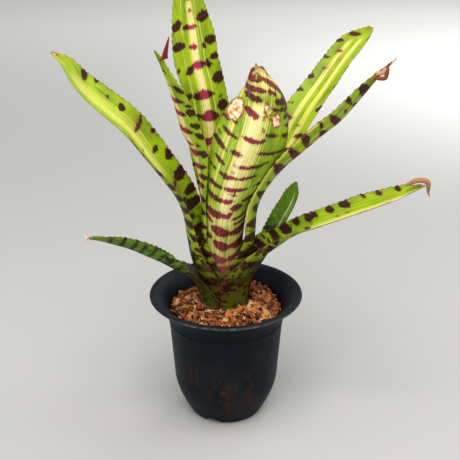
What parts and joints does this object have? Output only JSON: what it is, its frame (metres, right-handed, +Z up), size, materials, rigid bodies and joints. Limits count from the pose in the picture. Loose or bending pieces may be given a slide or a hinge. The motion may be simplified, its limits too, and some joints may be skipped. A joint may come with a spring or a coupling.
{
  "type": "potted bromeliad",
  "caption": "Banded bromeliad with a vase of arching strap leaves, growing in coconut husk in a flared dark plastic nursery pot.",
  "frame": {"origin": "middle of the pot's foot, on the surface that it stands on", "axes": "+Z up along the pot's axis, +Y towards the tall leaf at the back, +X to the right as seen from the front"},
  "size_m": [0.2533, 0.1471, 0.3102],
  "materials": {
    "pot_plastic": "matt charcoal black with a soft sheen, dusty",
    "husk": "loose fibrous coconut husk, orange brown, dry",
    "husk_chip": "chopped husk, pale orange brown, dry",
    "stem": "dark olive brown plant stem, satin",
    "leaf_lime": "satin lime green leaf with maroon bands",
    "leaf_cream": "satin cream and lime leaf with maroon bands",
    "leaf_deep": "satin deep green leaf"
  },
  "bodies": {
    "root": {"pot": "pot_plastic", "growing_medium": "husk", "stem": "stem", "leaf_left_low": "leaf_deep", "leaf_back_small": "leaf_deep", "leaf_right_low": "leaf_lime", "leaf_left_long": "leaf_lime", "leaf_right_mid": "leaf_lime", "leaf_left_inner": "leaf_lime", "leaf_front_cup": "leaf_cream", "leaf_right_upper": "leaf_lime", "leaf_back_tall": "leaf_lime", "husk_chip_01": "husk_chip", "husk_chip_02": "husk_chip", "husk_chip_03": "husk_chip", "husk_chip_04": "husk_chip", "husk_chip_05": "husk_chip", "husk_chip_06": "husk_chip", "husk_chip_07": "husk_chip", "husk_chip_08": "husk_chip", "husk_chip_09": "husk_chip", "husk_chip_10": "husk_chip", "husk_chip_11": "husk_chip", "husk_chip_12": "husk_chip"}
  },
  "joints": []
}
